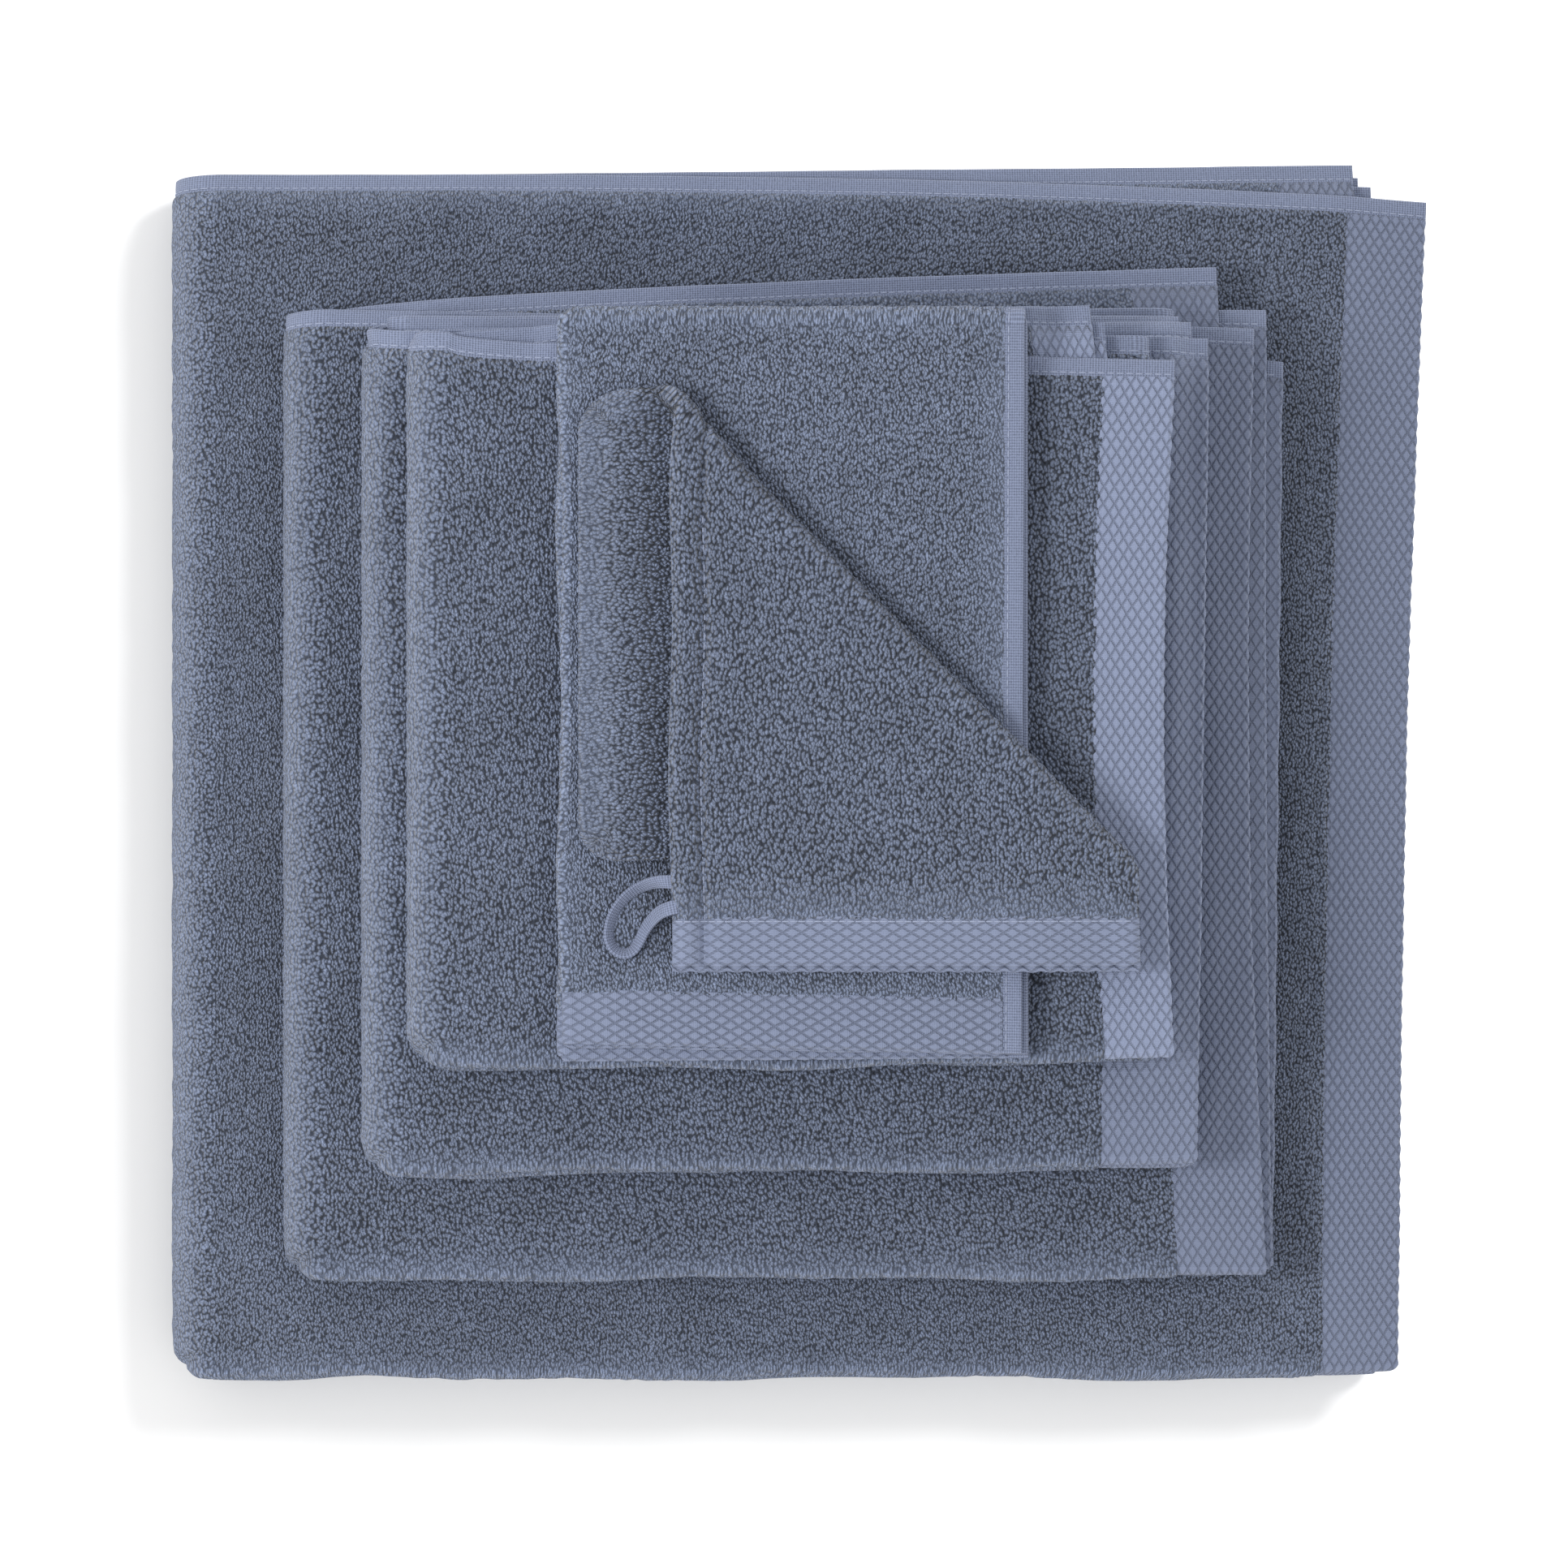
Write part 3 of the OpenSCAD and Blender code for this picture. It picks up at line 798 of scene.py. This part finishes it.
sheet_skews = (
    skew((-6.5, -16.8, -9.2, 0.8, -2.2, 3), (-7.5, -2.5, -14, -25, 0, 0.8)),
    skew((-8, -6, -16, -22, 0, 1), (-8, -10, -16, -18, 0, 1)),
    skew((-8, -12, -12, -14, 0, 1)),
)
bath_skews = (
    skew((-9.6, -16.5, 0, -4.5, -4, 1), (-11, 6, 0, -17, -2, 0.55)),
    skew((-11.5, -27, 1.2, 4.8, 0, 2), (-11, -8.8, 0.5, -1.5, -1, 1)),
    skew((-11.5, -14, -9, -12, 0, 1)),
)
medium_skews = (
    skew((0, -2, -2.7, 1.5, 0, 1), (-1, 4, -2.7, -4, 0, 0.6)),
    skew((6.3, 6.3, -3, -8, 0, 1)),
    skew((6.3, 10, -3, -8, 0, 1)),
)
hand_skews = (
    skew((-1.2, -10.8, 0, 0.4, -3.6, 0.45), (-1.5, 8, -1, -28, 0, 0.7)),
    skew((0.5, 2.8, -1, -23, 0, 1)),
    skew((0.5, -1, -3, -6, 0, 1)),
)


def cover_of(name):
    """Left, right, front and back of the towel that lies on top."""
    low, high = box(name + "_terry")
    hem_high = box(name + "_side_hems")[1]
    return low[0], max(high[0], hem_high[0]), low[1], max(high[1], hem_high[1])


sheet = book("bath_sheet", 29, 0, sheet_skews, cover_of("bath_towel"), 0.6, SHEET_LEAF,
             (0.4, 1.0))
bath = book("bath_towel", 32, 7, bath_skews, cover_of("medium_towel"), 1.9, BATH_LEAF,
            (2.0, 2.6))
medium = book("medium_towel", 34, 0, medium_skews, cover_of("hand_towel"), 3.3, MEDIUM_LEAF,
              (2.0, 4.4))
hand = book("hand_towel", 24, 0, hand_skews, cover_of("guest_towel"), 4.8, HAND_LEAF,
            (0.8, 3.4))

# All towels share one terry colour. The open terry is that colour painted darker, as painted shade.
fine_terry = terry_material("terry_fine", TERRY, 1.2, 1.3, 0.42)
open_terry = terry_material("terry_open", shade(0.90, TERRY), 1.45, 1.45, 0.42)
# All woven ends share one colour: the sheet's and bath towel's copies are painted darker, as painted
# shade, and the hand towel's lighter, as painted light.
sheet_border_painted_shade = border_material("woven_border_sheet", shade(0.95, BORDER), *SHEET_DIAMOND)
bath_border_painted_shade = border_material("woven_border_bath", shade(0.95, BORDER), *DIAMOND)
hand_border_painted_light = border_material("woven_border_hand", shade(1.25, BORDER), *DIAMOND)
small_border = border_material("woven_border_small", BORDER, *DIAMOND)

dress(sheet, fine_terry, sheet_border_painted_shade, SHEET_DIAMOND, SHEET_FINE)
dress(bath, open_terry, bath_border_painted_shade, DIAMOND, FINE)
dress(medium, open_terry, small_border, DIAMOND,
      FINE)
dress(hand, open_terry, hand_border_painted_light, DIAMOND, FINE)


# ---- Guest towel ----

# Its ends lie at the front and its fold at the back: swap exchanges x and y in its fold map.
guest_low, guest_high = box("guest_towel_terry")
guest_hem_low, guest_hem_high = box("guest_towel_side_hems")
guest_end, guest_fold = guest_hem_low[1], guest_high[1] + SPARE / 2
guest_runs = [
    {"from": guest_end, "to": guest_fold - GUEST_LEAF, "high": 1.5 * GUEST_LEAF, "up": 1,
     **skew((-2.2, -1.2, 5.5, 2, 0, 1), (0, 0, 4, 1.5, 0, 1))},
    {"from": guest_fold - GUEST_LEAF, "to": guest_end, "high": 0.5 * GUEST_LEAF, "up": -1,
     **skew((0.5, 0, -1.0, 0.2, 0, 1))},
]
guest_turns = [
    {"x": guest_fold - GUEST_LEAF, "z": GUEST_LEAF, "radius": 0.5 * GUEST_LEAF,
     "from": 90, "to": -90, "out": 1},
]
guest_cover = (guest_end, guest_fold - 30, guest_low[0] + 9, guest_hem_high[0])
guest = Fold(GUEST_LEAF, guest_low[2] - SPARE / 2, guest_low[0], guest_hem_high[0],
             guest_runs, guest_turns, guest_cover, 6.1, swap=True)
guest.end, guest.front_end = guest_fold, guest_end
guest.name, guest.border = "guest_towel", 18
# The guest towel's terry is the shared terry colour painted lighter, as painted light.
guest_terry = terry_material("terry_guest", shade(1.10, TERRY), 1.2, 1.3, 0.42, 0.5, True)
dress(guest, guest_terry, small_border, DIAMOND, FINE)


# ---- Wash mitt ----

PANEL = 3.2
PLY = PANEL + SPARE
band_low, band_high = box("mitt_front_mouth_band")
mitt_left, mitt_right = band_low[0], band_high[0]
mitt_front = band_low[1]
MITT_WIDE = mitt_right - mitt_left
MITT_LONG = 220.0
BAND = band_high[1] - band_low[1]
SEAM = 10.7
REACH = 2 * PLY
fold_low, fold_high = box("mitt_front_fold")
FOLD_Z = (fold_low[2] + fold_high[2]) / 2
# x + y on the diagonal fold line.
FOLD_SUM = 82.5
TIP_CORNER = 13.0
MITT_DIAMOND = (6.1, 3.7)
# Each panel's distance from the middle of the fold.
layers = {"front": 1.5 * PLY, "back": 0.5 * PLY}


def fold_distance(s, t):
    """Distance of a flat point past the diagonal fold line."""
    return (mitt_left + s + mitt_front + t - FOLD_SUM) / math.sqrt(2)


def mitt_outline(s, t):
    """Rounds the two corners of the closed end and lets the sides wander a little."""
    for corner, side in ((0, 1), (MITT_WIDE, -1)):
        dx = (corner + side * TIP_CORNER - s) * side
        dy = t - (MITT_LONG - TIP_CORNER)
        inside = (dx > 0) & (dy > 0)
        far = np.where(inside, np.hypot(dx, dy), 1)
        scale = np.where(inside, np.maximum(dx, dy) / np.maximum(far, 1e-6), 1)
        s = np.where(inside, corner + side * (TIP_CORNER - dx * scale), s)
        t = np.where(inside, MITT_LONG - TIP_CORNER + dy * scale, t)
    wide = s / MITT_WIDE
    s = s + 0.6 * np.sin(t / 17 + 1) * (1 - wide) + 0.7 * np.sin(t / 21 + 2.5) * wide
    return s, t


def mitt_place(layer):
    """place(s, t, h) for one panel: s from the seam edge, t from the mouth, h outwards."""
    radius = layers[layer]
    face = 1 if layer == "front" else -1

    def place(s, t, h):
        s, t, h = np.broadcast_arrays(np.asarray(s, float), t, h)
        rim = np.minimum(np.minimum(s, MITT_WIDE - s), MITT_LONG - t)
        spread = bulge((rim + 0.6) / 4.2)
        groove = np.exp(-(((s - SEAM) / 1.5) ** 2)) * smooth((MITT_LONG - 12 - t) / 8)
        pinch = 1 - 0.42 * groove
        level = PLY + (radius - PLY) * spread * pinch
        on_flap = smooth((2 - fold_distance(s, t)) / 14)
        if layer == "front":
            # The rolled seam edge, the shallow swell beyond its groove and the far edge.
            roll = 1.7 * np.exp(-(((s - 4.8) / 3.6) ** 2)) - 0.8 * groove
            roll = roll + 0.8 * np.exp(-(((s - 17) / 4.5) ** 2))
            roll = roll + 1.3 * np.exp(-(((MITT_WIDE - s - 4) / 5) ** 2))
            level = level + on_flap * roll
        s, t = mitt_outline(s, t)
        x, y = mitt_left + s, mitt_front + t
        d = (x + y - FOLD_SUM) / math.sqrt(2)
        along = (y - x) / math.sqrt(2)
        phi = np.clip(d / REACH, -1, 1) * math.pi / 2
        reach = level + face * h
        bent = -REACH + reach * np.cos(phi)
        n = np.where(d < -REACH, d, np.where(d > REACH, -d, bent))
        apex = np.exp(-((s / 17) ** 2)) * np.exp(-((d / 15) ** 2))
        n = n + 3.2 * apex
        z = FOLD_Z - reach * np.sin(phi)
        centre = FOLD_SUM / math.sqrt(2)
        x = ((centre + n) - along) / math.sqrt(2)
        y = ((centre + n) + along) / math.sqrt(2)
        flap = smooth((REACH - d) / (2 * REACH))
        if layer == "back":
            crown = np.exp(-(((x + 57) / 9) ** 2)) * bulge((rim + 0.5) / 14)
            z = z + (1 - flap) * (3.4 * crown - 2.0 * smooth((x + 52) / 10))
        return mitt_settle(x, y, z, flap)

    return place


def mitt_settle(x, y, z, flap):
    """The flap sinks where no cloth is under it, past the tip and past the guest towel."""
    mouth = smooth((-30 - y) / 26)
    beyond = smooth((x - 72) / 44)
    sink = flap * 5.8 * mouth + 7.5 * beyond * (1 - 0.35 * flap * mouth)
    ripple = 0.5 * np.sin(x / 17 + 1.3) * np.sin(y / 23 + 0.4) + 0.3 * np.sin(x / 9 - y / 12)
    sink = sink - flap * ripple * smooth((FOLD_SUM - 16 - x - y) / 30)
    return np.stack([x, y, z - sink], -1)


def panel_piece(layer, material):
    """One panel of the mitt from the mouth band to the closed end, folded over the diagonal."""
    start = BAND - EMBED
    place = mitt_place(layer)
    ss = stations((0, 4, 0.6), (4, SEAM - 3, 1.2), (SEAM - 3, SEAM + 3, 0.5),
                  (SEAM + 3, MITT_WIDE - 5, 3.0), (MITT_WIDE - 5, MITT_WIDE, 0.7))
    ts = stations((start, start + 4, 0.8), (start + 4, MITT_LONG - 5, 1.6),
                  (MITT_LONG - 5, MITT_LONG, 0.7))

    def thick(s, t):
        rim = np.minimum(np.minimum(s, MITT_WIDE - s), MITT_LONG - t)
        mouth = bulge((t - start) / 3.2)
        pile = 1 - 0.4 * np.exp(-(((s - SEAM) / 1.1) ** 2)) * smooth((MITT_LONG - 12 - t) / 8)
        return (1.5 + (PANEL - 1.5) * np.minimum(mouth, bulge((rim + 0.4) / 3.2))) * pile

    points, faces, flat = shell(place, ss, ts, thick, tufts=TUFTS)
    distance = fold_distance(flat[:, 0], flat[:, 1])
    pressed = smooth((14 - np.abs(distance)) / 5)
    piece = make_mesh("mitt_" + layer + "_cloth", points, faces, flat, material, pressed)
    # Each point's distance past the fold is set as its height for a while, the transform is baked
    # in, and then the final points go back.
    vertices = piece.data.vertices
    final = np.zeros(len(vertices) * 3)
    vertices.foreach_get("co", final)
    spread = np.zeros((len(vertices), 3))
    spread[:, 2] = distance * MM
    vertices.foreach_set("co", spread.ravel())
    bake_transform(piece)
    vertices.foreach_set("co", final)
    piece.data.update()
    return piece


def band_piece(layer, material):
    """The woven band round the mouth, on one panel."""
    wide, tall = MITT_DIAMOND
    place = mitt_place(layer)
    low = -2.1 if layer == "back" else 0.0
    ss = stations((0, SEAM - 2, 0.75), (SEAM - 2, SEAM + 2, 0.4),
                  (SEAM + 2, MITT_WIDE - 3, 0.6), (MITT_WIDE - 3, MITT_WIDE, 0.5))
    ts = stations((low, low + 1.5, 0.3), (low + 1.5, BAND + 0.6, 0.55))

    def lipped(s, t, h):
        scallop = 0.25 * np.cos(TAU * s / wide) * smooth(1 - (t - low) / 2.5)
        return place(s, t + scallop, h)

    def thick(s, t):
        lip = bulge((t - low) / 1.3)
        edge = bulge((np.minimum(s, MITT_WIDE - s) + 0.3) / 2)
        return WOVEN_THICK * (0.25 + 0.75 * lip) * (0.4 + 0.6 * edge)

    def lift(s, t):
        plain = smooth((s - SEAM - 2) / 3) * smooth((t - low) / 1.5)
        return 0.28 * diamond_height(s, t, wide, tall) * plain

    points, faces, flat = shell(lipped, ss, ts, thick, lift)
    return make_mesh("mitt_" + layer + "_band", points, faces, flat, material)


def seam_piece():
    """Thread of the side seam, in its groove, from the mouth to the fold."""
    place = mitt_place("front")
    along = [t for t in np.arange(3, 150, DASH_STEP) if fold_distance(SEAM, t) < -REACH - 2]

    def turned(u, a, h):
        return place(a, u, h)

    points, faces, flat = joined(dashes(turned, along, SEAM, 0.9, 0.32))
    return make_mesh("mitt_side_stitches", points, faces, flat, STITCHES)


def band_stitch_piece():
    """Thread that sews the band to each panel."""
    parts = []
    along = np.arange(2.4, MITT_WIDE - 1.5, 2.7)
    height = WOVEN_THICK / 2 + 0.25
    for layer, face in (("front", 1), ("back", -1)):
        parts += dashes(mitt_place(layer), along, BAND - 1.2, face * height)
    points, faces, flat = joined(parts)
    return make_mesh("mitt_band_stitches", points, faces, flat, STITCHES)


def tip_seam_piece():
    """Thread of the seam that closes the far end, between the panels."""
    place = mitt_place("front")
    along = np.arange(16, MITT_WIDE - 16, DASH_STEP)
    points, faces, flat = joined(dashes(place, along, MITT_LONG - SEAM, -PANEL / 2 - 0.15))
    return make_mesh("mitt_tip_stitches", points, faces, flat, STITCHES)


# The loop's route, as in the CAD model.
LOOP_ROUTE = [
    (-38.0, -37.6, 156.0), (-41.0, -37.6, 156.0), (-44.2, -37.6, 154.6), (-47.2, -38.0, 151.6),
    (-49.8, -38.8, 148.6), (-52.6, -40.0, 147.3), (-55.8, -42.2, 147.1), (-58.6, -45.2, 147.1),
    (-60.8, -48.8, 147.1), (-62.0, -52.8, 147.1), (-62.0, -56.8, 147.1), (-60.2, -60.2, 147.1),
    (-56.9, -61.6, 147.1), (-53.8, -60.2, 147.1), (-51.8, -57.0, 147.1), (-50.0, -53.4, 147.6),
    (-47.6, -50.2, 149.4), (-45.0, -47.8, 152.8), (-42.0, -46.4, 155.8), (-38.8, -45.6, 156.0),
]
TAPE_WIDE = 4.8
TAPE_THICK = 1.3
TAPE_SIDES = 16
TAPE_TILT = 0.95


def smooth_route(route, steps):
    """Points on a smooth curve through the route."""
    ends = [2 * np.array(route[0]) - route[1], 2 * np.array(route[-1]) - route[-2]]
    points = [ends[0], *[np.array(p) for p in route], ends[1]]
    found = []
    for a, b, c, d in zip(points, points[1:], points[2:], points[3:]):
        for i in range(steps):
            t = i / steps
            found.append(0.5 * (2 * b + (c - a) * t + (2 * a - 5 * b + 4 * c - d) * t ** 2
                                + (3 * b - a - 3 * c + d) * t ** 3))
    found.append(points[-2])
    return np.array(found)


def loop_piece():
    """A woven tape. Between its ends it tips, so that its face turns to the loop's inside."""
    line = smooth_route(LOOP_ROUTE, 4)
    heading = np.gradient(line, axis=0)
    heading /= np.linalg.norm(heading, axis=1)[:, None]
    side = np.cross(heading, (0, 0, 1))
    side /= np.linalg.norm(side, axis=1)[:, None]
    up = np.cross(side, heading)
    length = np.concatenate([[0], np.cumsum(np.linalg.norm(np.diff(line, axis=0), axis=1))])
    sides = TAPE_SIDES
    points, flat = [], []
    for i, centre in enumerate(line):
        tilt = TAPE_TILT * math.sin(math.pi * length[i] / length[-1]) ** 0.6
        across = side[i] * math.cos(tilt) + up[i] * math.sin(tilt)
        above = up[i] * math.cos(tilt) - side[i] * math.sin(tilt)
        for k in range(sides):
            angle = TAU * k / sides
            c, s = math.cos(angle), math.sin(angle)
            wide = math.copysign(abs(c) ** 0.45, c) * TAPE_WIDE / 2
            high = math.copysign(abs(s) ** 0.6, s) * TAPE_THICK / 2
            points.append(centre + across * wide + above * high)
            flat.append((length[i], wide, 0))
    number = np.arange(len(points)).reshape(len(line), sides)
    turned = np.roll(number, -1, axis=1)
    faces = np.stack([number[:-1], number[1:], turned[1:], turned[:-1]], -1).reshape(-1, 4)
    caps = []
    for ring, order in ((number[0], 1), (number[-1], -1)):
        ring = ring[::order]
        for k in range(1, sides // 2):
            caps.append([ring[k - 1], ring[k], ring[sides - 1 - k], ring[sides - k]])
    points = np.array(points)
    faces = np.concatenate([faces, np.array(caps)])
    piece = make_mesh("mitt_loop_tape", points, faces_of(points, faces), np.array(flat), TAPE)
    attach(piece, "mitt_flap")
    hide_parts("mitt_hanging_loop")


loop_piece()
# The mitt's terry is the shared terry colour painted darker, as painted shade, and its band the
# shared woven colour painted lighter, as painted light.
mitt_terry = terry_material("terry_mitt", shade(0.90, TERRY), 1.4, 1.45, 0.9, 0.8)
mitt_border_painted_light = border_material("woven_border_mitt", shade(1.05, BORDER), *MITT_DIAMOND)
bands = {layer: band_piece(layer, mitt_border_painted_light) for layer in layers}
side_seam = seam_piece()
band_stitches = band_stitch_piece()
for piece, node, finish in (
    (bands["front"], "mitt_front_mouth_band", "woven_border"),
    (bands["back"], "mitt_back_mouth_band", "woven_border"),
    (side_seam, "mitt_side_seam", "thread"), (band_stitches, "mitt_band_stitching", "thread"),
):
    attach(piece, "mitt_flap")
    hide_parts(node)
tip_seam = tip_seam_piece()
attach(tip_seam, "wash_mitt")
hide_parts("mitt_tip_seam")
for layer in layers:
    cloth = panel_piece(layer, mitt_terry)
    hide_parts(*("mitt_" + layer + part for part in ("_tip", "_fold", "_panel")))
    parts = [bands[layer]]
    if layer == "front":
        parts += [side_seam, band_stitches, tip_seam]


# ---- Floor and light ----

# The floor's half width, in metres, its own faint light and the light from all round.
WIDE = 30
FLOOR_GLOW = 0.14
TENT_LIGHT = 0.92
corners = [(-WIDE, -WIDE, 0), (WIDE, -WIDE, 0), (WIDE, WIDE, 0), (-WIDE, WIDE, 0)]
floor_mesh = bpy.data.meshes.new("floor")
floor_mesh.from_pydata(corners, [], [(0, 1, 2, 3)])
floor = bpy.data.objects.new("floor", floor_mesh)
bpy.context.scene.collection.objects.link(floor)
white = bpy.data.materials.new("white_floor")
white.use_nodes = True
surface = white.node_tree.nodes["Principled BSDF"]
surface.inputs["Base Color"].default_value = (0.9, 0.9, 0.9, 1)
surface.inputs["Roughness"].default_value = 0.9
surface.inputs["Specular IOR Level"].default_value = 0.1
surface.inputs["Emission Color"].default_value = (1, 1, 1, 1)
surface.inputs["Emission Strength"].default_value = FLOOR_GLOW
floor_mesh.materials.append(white)

world = bpy.data.worlds.new("tent")
bpy.context.scene.world = world
world.use_nodes = True
world.node_tree.nodes["Background"].inputs[0].default_value = (1, 1, 1, 1)
world.node_tree.nodes["Background"].inputs[1].default_value = TENT_LIGHT


def soft_light(name, place, size, power):
    """A round lamp, in metres and watts, that points at the stack."""
    light = bpy.data.objects.new(name, bpy.data.lights.new(name, "AREA"))
    light.data.shape = "DISK"
    light.data.size = size
    light.data.energy = power
    light.location = place
    direction = np.array((0, 0, 0.08)) - np.array(place)
    yaw = math.atan2(direction[1], direction[0])
    pitch = math.acos(-direction[2] / np.linalg.norm(direction))
    light.rotation_euler = (pitch, 0, yaw - math.pi / 2)
    bpy.context.scene.collection.objects.link(light)
    return light


def lights_only(light, objects):
    """Keeps a light on these objects, as a flag beside the lamp would. All still cast shadows."""
    group = bpy.data.collections.new(light.name + "_reaches")
    for lit in objects:
        group.objects.link(lit)
    light.light_linking.receiver_collection = group


cloths = [
    thing for thing in bpy.context.scene.objects
    if "cloth" in getattr(thing.data, "attributes", {})
]
lights_only(soft_light("side_light", (-0.78, -0.05, 1.3), 0.40, 10.5), cloths)
lights_only(soft_light("floor_light", (0.95, 0.85, 1.15), 0.6, 24), [floor])

scene = bpy.context.scene
scene.view_settings.view_transform = "Standard"
scene.view_settings.look = "None"
